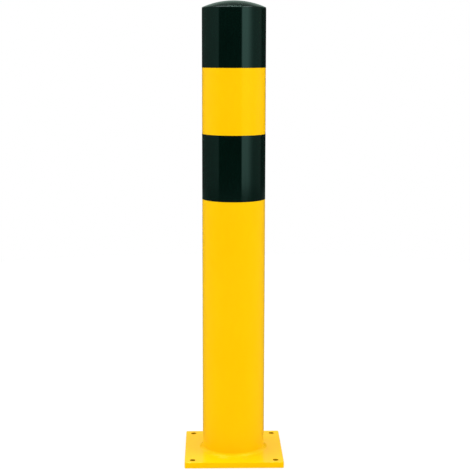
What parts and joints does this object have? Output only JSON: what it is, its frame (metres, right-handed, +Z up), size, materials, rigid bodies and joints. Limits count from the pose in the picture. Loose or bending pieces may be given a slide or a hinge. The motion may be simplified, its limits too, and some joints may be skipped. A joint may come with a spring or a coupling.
{
  "type": "impact protection bollard",
  "caption": "Tubular steel impact protection bollard: yellow post with black bands and a domed black cap, welded to a square base plate drilled for floor anchors.",
  "frame": {"origin": "centre of the base plate's underside, on the floor", "axes": "+Z up along the post, -Y towards the front, the plate's sides along X and Y"},
  "size_m": [0.25, 0.25, 1.16],
  "materials": {
    "yellow_coat": "smooth glossy powder coat",
    "black_film": "glossy self-adhesive film",
    "black_cap": "moulded, satin gloss"
  },
  "bodies": {
    "root": {"base_plate": "yellow_coat", "post_tube": "yellow_coat", "foot_weld": "yellow_coat", "lower_band": "black_film", "upper_band": "black_film", "end_cap": "black_cap"}
  },
  "joints": []
}
